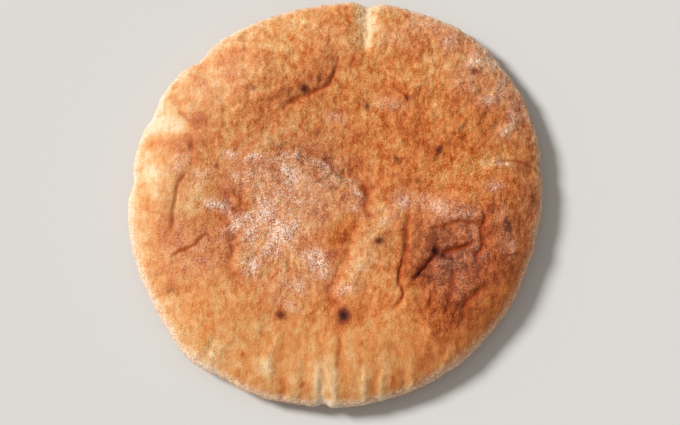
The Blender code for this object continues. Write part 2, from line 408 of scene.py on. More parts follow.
def stitchRings(fine, coarse):
    # Three triangles between each step of the coarse ring and the two steps of the fine ring outside it
    first, middle, last = fine[0::2], fine[1::2], np.roll(fine, -2)[0::2]
    following = np.roll(coarse, -1)
    return np.concatenate([
        np.column_stack([first, coarse, middle]),
        np.column_stack([coarse, following, middle]),
        np.column_stack([middle, following, last]),
    ])


def vertexNormals(points, quads, triangles):
    # The directions of the faces round each vertex, weighted by their areas
    total = np.zeros_like(points)
    for faces in (quads, triangles):
        across = points[faces[:, 2]] - points[faces[:, 0]]
        other = points[faces[:, -1]] - points[faces[:, 1]]
        normal = np.cross(across, other)
        for corner in faces.T:
            np.add.at(total, corner, normal)
    return total / np.linalg.norm(total, axis=1)[:, None]


def makeMesh(name, points, quads, triangles):
    # An object with these corners and faces, shaded smooth
    mesh = bpy.data.meshes.new(name)
    corners = np.concatenate([quads.ravel(), triangles.ravel()]).astype(np.int32)
    counts = np.concatenate([np.full(len(quads), 4), np.full(len(triangles), 3)])
    mesh.vertices.add(len(points))
    mesh.vertices.foreach_set("co", points.astype(np.float32).ravel())
    mesh.loops.add(len(corners))
    mesh.loops.foreach_set("vertex_index", corners)
    mesh.polygons.add(len(counts))
    mesh.polygons.foreach_set("loop_start", (np.cumsum(counts) - counts).astype(np.int32))
    mesh.update(calc_edges=True)
    mesh.shade_smooth()
    piece = bpy.data.objects.new(name, mesh)
    bpy.context.collection.objects.link(piece)
    return piece


def storeValues(piece, name, values):
    # One number, or one vector, for each vertex
    kind, field = ("FLOAT", "value") if values.ndim == 1 else ("FLOAT_VECTOR", "vector")
    layer = piece.data.attributes.new(name, kind, "POINT")
    layer.data.foreach_set(field, values.astype(np.float32).ravel())


# The fine surface: how rough, brown, floury and scorched each place is

surface = {
    "plainBrowning": 0.466,
    "flourAmount": 0.8,
    "gritLimit": 1.8,         # the strongest grain, which is stored as 1
    "haloReach": 2.2,         # how many times wider than a scorched spot the brown round it is
    "plateauMiddle": (-22, -12),
    "plateauReach": 30,       # from that middle to the floury plateau's wrinkled edge
    # x, y, amount, half length, half width, and the length's direction in degrees where that isn't 0
    "browning": [
        # the pale rim on the left and its tan patches
        (-83, -5, -0.24, 34, 8, 92), (-77, 42, -0.17, 22, 6, 58), (-50, 67, -0.18, 24, 8, 35),
        (-66, 48, -0.14, 10, 6, 50), (-12, 77, -0.18, 9, 5, 10), (-74, 5, -0.1, 16, 5, 90),
        (-73, 31.5, -0.3, 8, 4.2, 5), (-64, 29.5, -0.24, 6, 2.4), (-52, 53, -0.15, 9, 3.5, 115),
        (-30, 61, -0.12, 9, 3, 95), (-58, 39, -0.12, 5, 3, 10), (-76, 11, -0.24, 8, 4, 95),
        (-74.5, 14.5, 0.1, 2, 1.5), (-70, 6, 0.14, 2, 1.6), (-60, -3, -0.2, 6, 4.5, 60),
        (-67, 14, -0.1, 5, 4, 30), (-48, -40, -0.07, 12, 6, 10), (-20, 63, -0.08, 9, 4, 80),
        (-48, 45, -0.05, 22, 20), (-42, 57, 0.19, 8, 6, 20), (-57, 49, 0.12, 5, 4.5),
        (-68, 44, 0.1, 7, 4, 50), (-50, 43, 0.1, 4, 4), (-76, -4, 0.18, 4, 3),
        (-72, -14, 0.1, 9, 7, 10), (-74.5, 1.5, -0.18, 3, 1.8), (-78.5, 1, 0.12, 2, 3, 90),
        (-68, 4, -0.16, 4, 1.8, 95), (-66, 40, 0.08, 7, 2.5, 30), (-71, 24, 0.12, 7, 2.4, 5),
        (-60, -38, 0.14, 3, 1.2, 10), (-62, -18, 0.07, 4, 3), (-53, -27, 0.12, 6, 3.5, 20),
        (-57, 31, 0.14, 8, 3.6, 90), (-58, -15, 0.1, 12, 6), (-60, -28, 0.08, 14, 8),
        (-77, 18, 0.09, 7, 5, 20), (-10, 70, 0.06, 7, 4, 100),
        # browner round the upper fold and the left one, partly painted shade on the slopes down into
        # them
        (-35, 36, 0.15, 8, 6, 10), (-24, 42, 0.18, 8, 4, 40), (-12, 48, 0.16, 9, 5, 40),
        (-5, 53, 0.03, 6, 5, 60), (-59.3, 21, 0.24, 3, 2.2, 110), (-64, 11, 0.14, 2, 1.6),
        (-54, 27, 0.12, 6, 4, 80), (-45, 27, 0.08, 8, 5),
        # the floury plateau
        (-43, 3, 0.26, 4, 3.5, 90), (-38.5, 8, 0.12, 10, 2, 90), (-44, -15, 0.2, 12, 4, 98),
        (-33, -20, -0.06, 14, 5, 90), (-36, -34, 0.07, 8, 6), (-13, -23, 0.12, 5, 3),
        (-25, 7, 0.08, 10, 8), (13, 1, 0.1, 7, 3, 95), (4, 15, 0.12, 9, 5, 140),
        (5, -13, 0.24, 5, 2.4, 40), (1, -20, 0.2, 7, 3.2, 65), (-2, -26, 0.14, 5, 3, 60),
        (16, -5, -0.08, 4, 4, 90), (-8, 20, 0.1, 10, 3, 150), (10, -28, -0.08, 10, 6, 80),
        # the middle and the upper right
        (12, 27, 0.09, 24, 14, 20), (14.5, -16, -0.18, 8, 5, 105), (45, 20, 0.16, 13, 11, 40),
        (5, -46, 0.05, 20, 8), (20, 12, 0.05, 14, 9, 30), (25, 47, 0.15, 8, 5, 60),
        (33, 62, 0.12, 6, 5), (45, 46, 0.11, 6, 5), (28, 30, 0.12, 7, 5), (36, 25, 0.12, 6, 6),
        (55, 40, 0.12, 8, 6), (66, 36, 0.18, 8, 6), (73, 44, 0.14, 7, 4, 120), (50, 63, 0.15, 8, 5),
        (58, 24, 0.08, 7, 4, 90), (35, 52, -0.09, 7, 6), (8, 52, -0.08, 6, 6), (37, 44, -0.05, 5, 5),
        (60, 15, -0.14, 10, 4, 5), (50, 10, -0.1, 12, 5, 10), (67, 13.6, -0.18, 7, 1.8),
        (79, -8, 0.04, 24, 6, 93), (70.5, -23.5, 0.25, 3.5, 0.9), (69.5, -12.5, 0.26, 3.5, 3, 90),
        # the right rim
        (74.5, 12, 0.16, 2.5, 1.8), (56.5, 9, 0.12, 3.5, 3), (60, 1, 0.1, 3.5, 3.5),
        (62.5, -4, 0.22, 3, 2.5, 80), (64, -12, 0.12, 4, 2), (72, 4, 0.1, 7, 6),
        (77, 30, 0.08, 8, 4, 110),
        # the hollow and below it
        (46, -14, 0.13, 13, 8), (48, -28, 0.34, 11, 9), (52, -50, 0.08, 16, 10, 30),
        (71, -18, 0.02, 20, 9, 95), (79, 20, 0.05, 16, 5, 95), (44, -44, 0.2, 9, 8),
        (36, -34, 0.16, 6, 5, 45), (56, -38, 0.14, 8, 5, 40), (35, -20, 0.1, 8, 6, 90),
        (50, -51, 0.14, 10, 6, 30), (66, -44, 0.04, 14, 8, 55), (46, -62, 0.06, 14, 7, 20),
        (57, -20, 0.28, 27, 18, 160), (72, -8, 0.04, 12, 7, 100), (36, -26, 0.1, 9, 6, 60),
        # the golden bottom with its pale ridges, orange valleys and stains
        (0, -75, -0.14, 42, 13), (32, -68, 0.06, 14, 9, 20), (-40, -48, -0.05, 22, 12, 150),
        (-70, -50, -0.2, 26, 7, 130), (-51, -64, -0.1, 12, 3.5, 75), (-28, -73, -0.1, 9, 2.5, 90),
        (-7, -75, -0.16, 10, 2.2, 93), (-1.3, -80, -0.2, 9, 1.8, 90), (1.2, -63, 0.14, 6, 1.0, 90),
        (6, -60, -0.08, 6, 3, 90), (10.5, -76, -0.15, 10, 1.4, 90), (18.5, -77, -0.15, 8, 1.2, 90),
        (30, -73, -0.12, 8, 1.3, 88), (46, -66, -0.12, 5, 2.5, 20), (-22, -78, 0.24, 9, 2.8, 90),
        (4, -76, 0.15, 10, 3, 90), (15, -74, 0.08, 8, 2, 90), (23.5, -76, 0.28, 6, 2.2, 90),
        (34, -68, 0.1, 4, 3), (32.5, -75, 0.12, 1.8, 1.5), (-16, -62, 0.08, 5, 3),
        (-13.5, -77.5, 0.16, 1.6, 1.5), (-38, -65.5, 0.16, 1.8, 1.5), (-37, -75, 0.08, 5, 3, 70),
        (-50, -56, 0.1, 4, 3), (-45, -46, 0.05, 10, 5), (-10, -56, 0.06, 10, 5), (2, -50, 0.14, 5, 4),
        (19, -63, 0.1, 2, 2), (10.5, -61, 0.14, 1.1, 1), (-16, -66, 0.07, 3, 3),
        (-28, -58, 0.08, 3, 2.5), (-30, -66, -0.06, 8, 6), (-22.5, -50, 0.08, 4, 3),
        (0, -87, -0.16, 42, 3),
        # broad tans and oranges
        (-28, 35, 0.14, 7, 5), (-20, 50, 0.06, 6, 5), (3, 15, 0.08, 5, 5), (28, 5, 0.12, 9, 5, 35),
        (-5, -8, 0.06, 5, 5), (-5, -22, 0.12, 5, 6), (51, 14, 0.08, 6, 4), (28, -22, 0.08, 3, 6),
        (37, -46, 0.12, 5, 9), (28, -34, 0.12, 3, 4), (60, 20, 0.08, 6, 6), (12, 62, 0.1, 8, 8),
        (12, 70, 0.05, 4, 6), (-43, -6, 0.09, 5, 5), (7, -27, -0.09, 9, 5, 90), (-10, 70, -0.08, 7, 6),
        (-76, 20, -0.06, 4, 6), (-19, 28, -0.08, 6, 5), (6, -6, 0.08, 5, 5), (-51, 7, -0.08, 8, 6, 90),
        (80, 3, 0.07, 7, 5, 90), (39, 20, -0.08, 6, 5), (-35, -56, -0.06, 7, 5, 160),
        (47, -6, 0.06, 7, 5), (64, -47, 0.05, 7, 5, 55), (-2, 53, -0.06, 4, 4), (-60, -6, -0.06, 5, 5),
        (4, 50, 0.1, 6, 5), (28, 40, 0.08, 8, 4), (54, 24, 0.08, 5, 6), (-38, 55, -0.07, 6, 6),
        (47, 61, -0.06, 8, 5), (55, -40, -0.1, 5, 5), (55, -55, -0.1, 6, 6), (28, -68, -0.08, 6, 5),
        (2, -57, -0.08, 5, 5), (-62, 18, 0.08, 3, 4), (-48, -68, -0.06, 5, 6, 60),
        (37, 28, -0.06, 6, 5), (-16, 44, -0.06, 4, 4), (-68, -5, -0.05, 5, 8, 90),
        (-18, -50, 0.06, 4, 4), (74, 40, 0.1, 5, 8, 30), (45, 66, 0.05, 6, 3, 150),
    ],
    "flour": [
        (-41, -6, -0.3, 8, 5), (7, -30, 0.12, 7, 5, 90), (-10, 70, 0.1, 6, 6), (3, -14, -0.3, 7, 5, 45),
        (52, 55, 0.1, 24, 12, 135), (2, 66, 0.08, 10, 14), (-12, 48, 0.06, 12, 8, 40),
        (10, -2, 0.14, 6, 7), (46, -32, 0.16, 10, 8),
        # the plateau: clumps on a thin veil
        (-21, 0, 0.46, 22, 22), (-22, -16, 1.3, 4.5, 3.6, 20), (-18, -12.5, 0.6, 4, 1.5, 35),
        (-25, -12, 0.4, 3, 2), (-28.5, -6, 0.8, 3.5, 2.6, 110), (-31, -8.5, 0.6, 2.5, 2),
        (-36, -9, 0.8, 3, 1.8, 160), (-20, 12, 0.8, 2.6, 2.2), (-17.5, 7.5, 0.7, 3.5, 2.2, 60),
        (-33.5, 16, 0.9, 3, 1.3, 10), (-43.5, 17.5, 0.9, 3, 1.6, 20), (-24, 17.5, 0.4, 4, 1.3, 15),
        (-16, 18, 0.45, 4, 1.3, 170), (-7, 13.5, 0.8, 3.6, 1.5, 155), (-2.5, 12.3, 0.55, 2.5, 1.5, 150),
        (4.5, 7, 0.4, 3.5, 1.4, 150), (8.3, 2, 0.7, 2.5, 1.3, 160), (6.5, -4, 0.4, 2.5, 2, 20),
        (-3, 8, 0.25, 5, 3, 150), (-49, -3.5, 0.95, 5, 2.2, 170), (-44, -6, 0.65, 4, 2.5, 150),
        (-55, 8, 0.4, 3.5, 3), (-27, -22, 0.6, 4, 3), (-34, -29, 0.8, 4, 4, 60),
        (-34, -16, 0.7, 5.5, 3, 80), (-41, -12, 0.6, 5, 3, 40), (-9, -26, 0.8, 5, 3.5, 150),
        (-5, -31, 0.6, 4, 3), (-16, -38, 0.45, 5, 3, 170), (-20, -45, 0.35, 5, 2, 160),
        (3, -39, 0.5, 3.5, 3), (-22, -35, 0.14, 16, 10), (-38, 9, 0.2, 8, 5), (20, -9, 0.3, 5, 4),
        (27, -2, 0.55, 4, 4), (12, -24, 0.16, 8, 12), (-58, -24, 0.22, 15, 12),
        # the hollow
        (40, -4, 0.42, 8, 4, 170), (52, -7, 0.34, 7, 3.5, 175), (44.5, -26.8, 0.25, 3.5, 1.3, 160),
        (52, -24, 0.1, 5, 2.5), (46, -20, 0.22, 14, 12), (48, -38, 0.15, 8, 6, 90),
        (58, -22, 0.3, 4, 3, 90),
        # the upper right rim
        (57, 56, 0.7, 4.5, 3.5, 60), (65, 57, 0.6, 3, 2.5), (68, 48, 0.55, 4, 2.5, 60),
        (63, 41, 0.5, 5, 3, 20), (73, 33, 0.5, 4, 2.5, 100), (70, 27, 0.6, 3.5, 3),
        (47, 66, 0.45, 4, 4), (37, 74, 0.4, 8, 4, 165), (54, 47, 0.25, 6, 4),
        (22, 38, 0.35, 6, 2.5, 160), (78, 24, 0.1, 6, 3, 90), (62, 62, 0.3, 10, 6, 140),
        (73, 40, 0.25, 10, 4, 120), (24, 68, 0.2, 10, 5), (-1, 33, 0.35, 4, 3),
        # the right rim; the long veil at (79, -6) is partly flour and partly painted shade on the side
        # turned from the lamp
        (68, 13.4, 0.6, 5, 1.4), (56, -15, 0.3, 3, 2.5, 90), (71, -20, 0.25, 3, 2),
        (66, 4, 0.25, 2.5, 2, 60), (69, -16, 0.3, 12, 3.5, 100), (79, -6, 0.12, 22, 5, 95),
        (63, 4, 0.3, 4, 3),
        # the left rim and the bottom edge
        (-65, 13, 0.35, 5, 3.5, 40), (-85, 0, 0.25, 32, 4, 90), (-79, 40, 0.1, 20, 5, 55),
        (-66, 12, 0.15, 50, 14, 80), (-60, 62, 0.14, 14, 4, 45), (-45, 69, 0.14, 10, 4, 35),
        (0, -88, 0.35, 42, 3), (-45, 52, 0.2, 22, 12, 40), (-54, -73, 0.35, 16, 4, 140),
        (48, -72, 0.4, 20, 4, 35),
    ],
    # soft ridges and valleys gathered into the lower rim, with a height in place of an amount
    "pleats": [
        (-51, -66, 0.5, 9, 2.6, 72), (-28, -75, 0.35, 9, 2.2, 88), (-22, -78, -0.4, 8, 2.4, 90),
        (-7.5, -77, 0.5, 10, 1.9, 93), (-1.5, -80, 0.6, 9, 1.8, 90), (4.5, -77, -0.35, 9, 2.4, 90),
        (10.5, -77, 0.4, 9, 1.5, 90), (15, -77, -0.2, 8, 1.8, 90), (18.5, -78, 0.4, 8, 1.3, 90),
        (23.5, -77, -0.35, 7, 1.9, 90), (30, -75, 0.45, 8, 1.4, 87), (38, -72, -0.25, 7, 2.2, 84),
        (44, -68, 0.35, 6, 1.8, 60),
    ],
    # x, y, strength, radius
    "scorchSpots": [
        (2.6, -49.6, 1.0, 3.0), (-22.5, -49.5, 0.75, 1.9), (17, -18.3, 0.8, 1.8),
        (-13.6, 44.8, 0.92, 2.1), (41.4, 19.2, 0.8, 1.6), (56.5, 52.5, 0.75, 1.7), (29, 41, 0.6, 1.2),
        (12.3, 37.5, 0.62, 1.7), (-7, 6.5, 0.35, 1.6), (23.7, 9.5, 0.45, 1.1), (33.5, 6, 0.5, 1.2),
        (24.5, 15.3, 0.66, 1.5), (-67, -38.5, 0.38, 1.7), (-49, 12.5, 0.4, 1.1), (2, -0.5, 0.4, 1.0),
        (-7.1, 49.5, 0.55, 1.5), (-33.8, 44.6, 0.45, 1.7), (-21.6, 43.6, 0.3, 1.8),
        (-60, 44.6, 0.22, 1.5), (-40, 67.4, 0.35, 1.6), (-7.6, 26.7, 0.4, 1.4), (-23.1, 6, 0.3, 1.5),
        (65.5, 4.5, 0.22, 1.2), (74.8, 12.3, 0.32, 1.5), (69.5, -12.5, 0.18, 2.0), (62, 4, 0.18, 1.6),
        (10.5, -61, 0.3, 1.2), (-13.5, -77.5, 0.3, 1.2), (-38, -65.5, 0.25, 1.2),
        (40.4, -22.6, 1.1, 1.9), (39.8, -20.0, 0.65, 1.2), (35.4, -29.4, 0.34, 1.2),
        (33.2, -32.4, 0.98, 1.7), (43.2, -24.4, 1.05, 1.3), (46.2, -25.6, 0.78, 1.2),
        (31, -28.5, 0.22, 2.6), (29.5, -20.5, 0.2, 2.0), (22, 49.5, 0.3, 1.3), (38.5, 39.5, 0.3, 1.1),
    ],
}


def blobSum(points, table):
    # Bells of the given amounts and radii, added up
    return sum(amount * roundBell(points, x, y, width) for x, y, amount, width in table)


def patchSum(points, table):
    # Bells drawn out along their length and turned to their direction, added up
    total = np.zeros(len(points))
    for x, y, amount, length, width, *turned in table:
        turn = math.radians(sum(turned))
        ahead, aside = math.cos(turn), math.sin(turn)
        across, up = points[:, 0] - x, points[:, 1] - y
        along = (across * ahead + up * aside) / length
        beside = (up * ahead - across * aside) / width
        total += amount * np.exp(-along ** 2 - beside ** 2)
    return total


def plateauWrinkles(points):
    # Folds round the floury plateau: noise drawn out along circles about its middle, strongest on a
    # band just inside its upper right edge, and noise drawn out along spokes nearer the middle. Also
    # gives the band's strength, and places as distance round the circles and from their middle
    across, up = (points[:, :2] - surface["plateauMiddle"]).T
    reach, turn = np.hypot(across, up), np.degrees(np.arctan2(up, across))
    circles = np.column_stack([np.radians(turn) * 7, reach / 1.9, np.zeros(len(points))])
    spokes = np.column_stack([np.radians(turn) * 9, reach / 11, np.ones(len(points))])
    edge = bell(reach - surface["plateauReach"], 6.5) * bell(turnGap(turn, 62), 50)
    inner = bell(reach - 17, 8) * bell(turnGap(turn, 200), 110)
    folded = edge * layeredNoise(circles, 1, 161, 2) + inner * layeredNoise(spokes, 1, 171, 2)
    arcPlaces = np.column_stack([np.radians(turn) * 31, reach, np.zeros(len(points))]) * mm
    return np.clip(folded, -0.6, 0.6), edge, arcPlaces


# The UV map named OFBake, which is 1 across
bakeMap = {
    "crustRadius": 0.43,
    "middle": 1.025,         # in crust radii, as is the next
    "stitchEnd": 1.02,
    "underRadius": 0.13,
    "underEnd": 0.995,
}


def addBakeMap(piece, points, ring, direction, stitchCount):
    # The crust is a disc by its distance along the surface from the top's middle, the underside a small
    # disc in the corner, and the stitches between them, the last faces, end just outside the crust's
    count, step = len(ring), ring.astype(int)
    section = np.stack([np.hypot(points[:count, 0], points[:count, 1]), points[:count, 2]])
    section = np.stack([np.bincount(step, values) for values in section]) / np.bincount(step)
    along = np.concatenate([[0], np.cumsum(np.hypot(*np.diff(section, axis=1)))])
    outward = bakeMap["crustRadius"] * compass(direction)
    middle = bakeMap["middle"] * bakeMap["crustRadius"]
    spots = middle + bakeMap["stitchEnd"] * outward
    spots[:count] = middle + (along[step] / along[-1])[:, None] * outward[:count]
    corners = np.zeros(len(piece.data.loops), np.int32)
    piece.data.loops.foreach_get("vertex_index", corners)
    layout = spots[corners]
    under = (corners >= count) & (np.arange(len(corners)) < len(corners) - 3 * stitchCount)
    flat = points[corners[under], :2] / np.abs(points[count:, :2]).max()
    layout[under] = bakeMap["underEnd"] - bakeMap["underRadius"] + bakeMap["underRadius"] * flat
    layer = piece.data.uv_layers.new(name="OFBake")
    layer.data.foreach_set("uv", layout.astype(np.float32).ravel())


def buildLoaf():
    # The crust and the underside stitched into one closed mesh, moved along its normals by the relief.
    # That is a weighted sum of noises, each held to the places where it belongs, and browning, flour
    # and the other looks are such sums too, stored with each vertex
    ring, direction, topQuads, topEdge = discGrid(loaf["rings"])
    top, roll, folds = crustPlaces(ring, direction)
    underRing, underDirection, underQuads, underEdge = discGrid(loaf["undersideRings"])
    underside = undersidePlaces(underRing, underDirection)
    count = len(top)
    nothing = np.zeros(len(underside))
    points = np.vstack([top, underside])
    quads = np.vstack([topQuads, underQuads[:, ::-1] + count])
    triangles = stitchRings(topEdge, underEdge + count)
    roll = np.concatenate([roll, nothing + math.pi])
    direction = np.concatenate([direction, underDirection])
    folds = {kind: np.concatenate([values, nothing]) for kind, values in folds.items()}
    radius = np.hypot(points[:, 0], points[:, 1])
    above = smoothStep(math.pi - roll, 0.9, 1.7)      # 1 over the whole top, 0 underneath

    # where the crust is floury, blistered or gathered
    warp = np.stack([layeredNoise(points, 8, seed) for seed in (31, 41, 51)], axis=1)
    fineWarp = np.stack([layeredNoise(points, 2.6, seed, 2) for seed in (181, 191, 201)], axis=1)
    bent = points + 1.8 * warp
    ragged = points + 1.2 * warp + 0.9 * fineWarp
    flourArea = np.clip(surface["flourAmount"] * patchSum(ragged, surface["flour"]), 0, 1) * above
    upperLeft = roundBell(points, -45, 48, 34) * above
    lowerRim = bell(turnGap(direction, 268), 40) * smoothStep(radius, 44, 66) * above
    nearRim = smoothStep(radius, 58, 80)
    leftRim = bell(turnGap(direction, 168), 48) * smoothStep(radius, 50, 70) * above

    # relief along the normal, in millimetres
    border, cellBrown = jitteredCells(bent + 0.9 * warp[:, ::-1], 9.0, 5)
    blister = smoothStep(border, 0.0, 0.6)
    arc = np.column_stack([np.radians(direction) * 80, radius * 0.2, points[:, 2] * 0.3])
    gathers = layeredNoise(arc, 5.5, 61, 2)
    bumps = 2 * np.abs(layeredNoise(bent, 7, 71, 2, 0.5))
    bumps = bumps + np.abs(layeredNoise(bent, 3.6, 75, 2, 0.6)) - 0.7
    pebbles = layeredNoise(bent, 3.2, 101, 3, 0.75)
    swell = layeredNoise(bent, 10, 91, 3, 0.6)
    plateauArcs, wrinkleBand, arcPlaces = plateauWrinkles(bent)
    upright = layeredNoise(bent * [2.2, 0.9, 1], 7, 85, 3, 0.6)
    upperRight = roundBell(points, 52, 45, 28)
    lowerLeft = smoothStep(-points[:, 0], 30, 65) * smoothStep(45 - points[:, 1], 0, 25)
    lowerRight = smoothStep(points[:, 0], 25, 50) * smoothStep(26 - points[:, 1], 0, 20)
    calm = above * (1 - 0.5 * lowerLeft) * (1 - 0.75 * lowerRim) * (0.64 + 0.75 * upperRight)
    relief = 0.6 * layeredNoise(points, 24, 81, 2) * above
    relief += (0.13 + 0.14 * upperRight) * pebbles + 0.12 * swell
    relief += (0.34 * swell + 0.22 * bumps + 0.40 * upright) * calm
    relief += 0.36 * (blister - 0.6) * upperLeft + 0.6 * plateauArcs
    pleats = patchSum(bent, surface["pleats"]) * above
    relief += (0.22 * lowerRim + 0.12 * nearRim) * gathers + 0.95 * pleats
    seamHeight = loaf["rimHeight"] - 1.2 - 0.5 * layeredNoise(points, 15, 111, 2)
    seam = bell(points[:, 2] - seamHeight, 0.5) * nearRim
    relief -= 0.22 * seam
    spots = np.clip(blobSum(points + 0.4 * warp + 0.5 * fineWarp, surface["scorchSpots"]), 0, 1) * above
    relief += 0.12 * spots

    normals = vertexNormals(points, quads, triangles)
    places = fitToFrame(points + normals * relief[:, None])
    print("loaf surface:", len(points), "vertices")

    # how brown, floury, deep in a fold and charred each place is
    blurred = points + 1.4 * warp + 0.5 * fineWarp
    brown = surface["plainBrowning"] + patchSum(blurred, surface["browning"]) * above
    side = smoothStep(roll, 1.0, 1.5) * smoothStep(math.pi - roll, 0.5, 1.2)
    rimLine = bell(roll - 1.3, 0.16)
    edgeFlour = 0.30 - 0.20 * bell(turnGap(direction, 0), 60) - 0.16 * bell(turnGap(direction, 128), 40)
    brown -= 0.16 * side + 0.08 * rimLine
    brown += upperLeft * (0.20 * (blister - 0.5) + 0.18 * (cellBrown - 0.5))
    # painted shade: the gathered ridges and pleats of the rim are paler where they rise and browner in
    # the valleys between them
    brown -= (0.12 * lowerRim + 0.10 * leftRim) * gathers + 0.02 * lowerRim + 0.12 * pleats
    brown += 0.06 * layeredNoise(points, 14, 121, 2)
    brown += 0.11 * layeredNoise(bent, 5.5, 131, 3, 0.7) * (above - 0.5 * lowerRim)
    # painted shade: the plateau's wrinkle valleys and the dips between the bumps are browner than their
    # crests
    brown += 0.06 * swell * above - 0.20 * plateauArcs + 0.065 * flourArea - 0.06 * bumps * above
    brown -= 0.06 * upright * calm + 0.05 * upperRight * above
    brown += 0.08 * bell(turnGap(direction, 308), 36) * smoothStep(radius, 56, 72) * above
    brown += 0.10 * np.clip(layeredNoise(points, 9, 141, 2), 0, 1) * (1 - above)
    haloes = blobSum(ragged, [
        (*spot, surface["haloReach"] * width) for *spot, width in surface["scorchSpots"]
    ])
    # the folds' browner sides are partly browning of the crust and partly painted shade
    brown += folds["brown"] + 0.10 * np.clip(haloes, 0, 1) * above
    clumps = layeredNoise(bent, 4, 151, 3, 0.7)
    dusting = flourArea * (0.92 + 0.45 * clumps + 0.5 * plateauArcs + 0.2 * bumps)
    dusting *= (1 - 0.8 * folds["core"]) * (1 - 0.6 * smoothStep(brown, 0.68, 0.95))
    dusting += 0.42 * side + edgeFlour * rimLine + 0.2 * (1 - above)

    # how strong the grain is
    grit = 0.9 + 0.28 * flourArea + 0.6 * lowerRight * smoothStep(80 - radius, 0, 16)
    grit += 0.1 * lowerLeft
    grit -= 0.58 * bell(turnGap(direction, 268), 48) * smoothStep(radius, 30, 66) + 0.65 * leftRim
    grit -= 0.35 * bell(turnGap(direction, 315), 30) * smoothStep(radius, 62, 76)

    loafPiece = makeMesh("pita_loaf", places, quads, triangles)
    addBakeMap(loafPiece, places, ring, direction, len(triangles))
    layers = {
        "browning": brown,
        "flour": dusting,
        # the share of dark red painted shade at the bottom of each fold
        "fold": folds["core"],
        "grit": np.maximum(grit / surface["gritLimit"], 0.08),
        "wrinkles": wrinkleBand * above * (0.6 + 0.8 * clumps),
        "scorch": np.maximum(spots, folds["char"]),
    }
    for name, values in layers.items():
        storeValues(loafPiece, name, np.clip(values, 0, 1))
    storeValues(loafPiece, "arcPlace", arcPlaces)
    return loafPiece


def fitToFrame(points):
    # Stretched to the box of the CAD bread, which is within a hundredth of its own, and set down in it
    low, high = points.min(axis=0), points.max(axis=0)
    return breadLow + (points - low) / (high - low) * breadSize


# Finishes

crustMaterial = bpy.data.materials.new("bakedCrust")
crustMaterial.use_nodes = True
tree = crustMaterial.node_tree       # the helpers below all add their nodes to it


def addNode(kind, inputs=None, **settings):
    # A node with its settings, and its inputs by name or number as numbers or as sockets to link
    node = tree.nodes.new("ShaderNode" + kind)
    for name, value in settings.items():
        setattr(node, name, value)
    for key, value in (inputs or {}).items():
        feed(node.inputs[key], value)
    return node


def setInputs(node, values):
    # Constants on the node's own sockets, by their names
    for name, value in values.items():
        node.inputs[name].default_value = value


def feed(socket, value):
    # Links another node's socket, or sets a number or a colour
    if isinstance(value, bpy.types.NodeSocket):
        tree.links.new(value, socket)
    else:
        socket.default_value = value


def calculate(operation, first, second=0.0, clamp=False):
    # One step of arithmetic on two numbers or sockets
    inputs = {0: first, 1: second}
    return addNode("Math", inputs, operation=operation, use_clamp=clamp).outputs[0]


def times(first, *others, clamp=False):
    # The product of all of them
    for other in others:
        first = calculate("MULTIPLY", first, other, clamp)
    return first


def calculateVector(operation, first, second):
    # The same on each part of a vector
    return addNode("VectorMath", {0: first, 1: second}, operation=operation).outputs["Vector"]


def mixColour(share, first, second, blend="MIX"):
    # The first colour with this share of the second laid over it
    node = addNode("Mix", data_type="RGBA", blend_type=blend)
    for name, value in (("Factor", share), ("A", first), ("B", second)):
        feed(next(s for s in node.inputs if s.name == name and s.enabled), value)
    return next(s for s in node.outputs if s.enabled)


def noise(place, size, detail=2.0, roughness=0.5):
    # Noise whose blotches are about this many millimetres across
    inputs = {"Vector": place, "Scale": 1 / (size * mm), "Detail": detail, "Roughness": roughness}
    return addNode("TexNoise", inputs).outputs["Fac"]


def cellEdges(place, size, squash, reach=0.14):
    # 1 along the edges of cells of this many millimetres, drawn out where the squash is small, falling
    # to 0 at this share of a cell away from them; coarse noise bends the cells by up to twice a size
    size *= mm
    coarse = {"Vector": place, "Scale": 1 / (2.7 * size), "Detail": 2.0}
    bend = addNode("TexNoise", coarse).outputs["Color"]
    sideways = calculateVector("MULTIPLY", bend, (2 * size, 2 * size, 0.0))
    bent = calculateVector("MULTIPLY", calculateVector("ADD", place, sideways), squash)
    fine = {"Vector": bent, "Scale": 1 / size}
    cells = addNode("TexVoronoi", fine, feature="DISTANCE_TO_EDGE")
    return spread(cells.outputs["Distance"], 0.02, reach, 1.0, 0.0)


def spread(value, low, high, toLow=0.0, toHigh=1.0):
    # Carries low to high over to another range in a straight line, and stays inside it
    ends = {"From Min": low, "From Max": high, "To Min": toLow, "To Max": toHigh}
    return addNode("MapRange", {"Value": value, **ends}).outputs["Result"]


crust = {
    "doughToChar": [      # share of browning, colour
        (0.00, (0.78, 0.62, 0.42)),
        (0.20, (0.72, 0.44, 0.210)),
        (0.40, (0.66, 0.295, 0.101)),
        (0.60, (0.585, 0.188, 0.053)),
        (0.80, (0.42, 0.105, 0.028)),
        (1.00, (0.20, 0.040, 0.013)),
    ],
    "thinFlourColour": (0.94, 0.61, 0.41, 1),
    "flourColour": (0.985, 0.74, 0.60, 1),
    "foldShadeColour": (0.27, 0.038, 0.004, 1),
    "spotColour": (0.165, 0.031, 0.014, 1),
    "charColour": (0.034, 0.009, 0.005, 1),
    "blotchTint": (0.82, 0.64, 0.46, 1),
    "grainTint": (0.76, 0.58, 0.30, 1),
    "webShadeTint": (0.78, 0.58, 0.42, 1),
    "wrinkleShadeColour": (0.24, 0.075, 0.028, 1),
    "mottle": 0.42,       # how far the mottling moves the browning
    "bumpHeight": 0.45 * mm,
    "roughness": 0.78,
    "constants": {        # light that sinks in and comes out again, and a weak gloss
        "Subsurface Weight": 0.08,
        "Subsurface Radius": (1.0, 0.4, 0.15),
        "Subsurface Scale": 1.2 * mm,
        "Specular IOR Level": 0.12,
    },
}


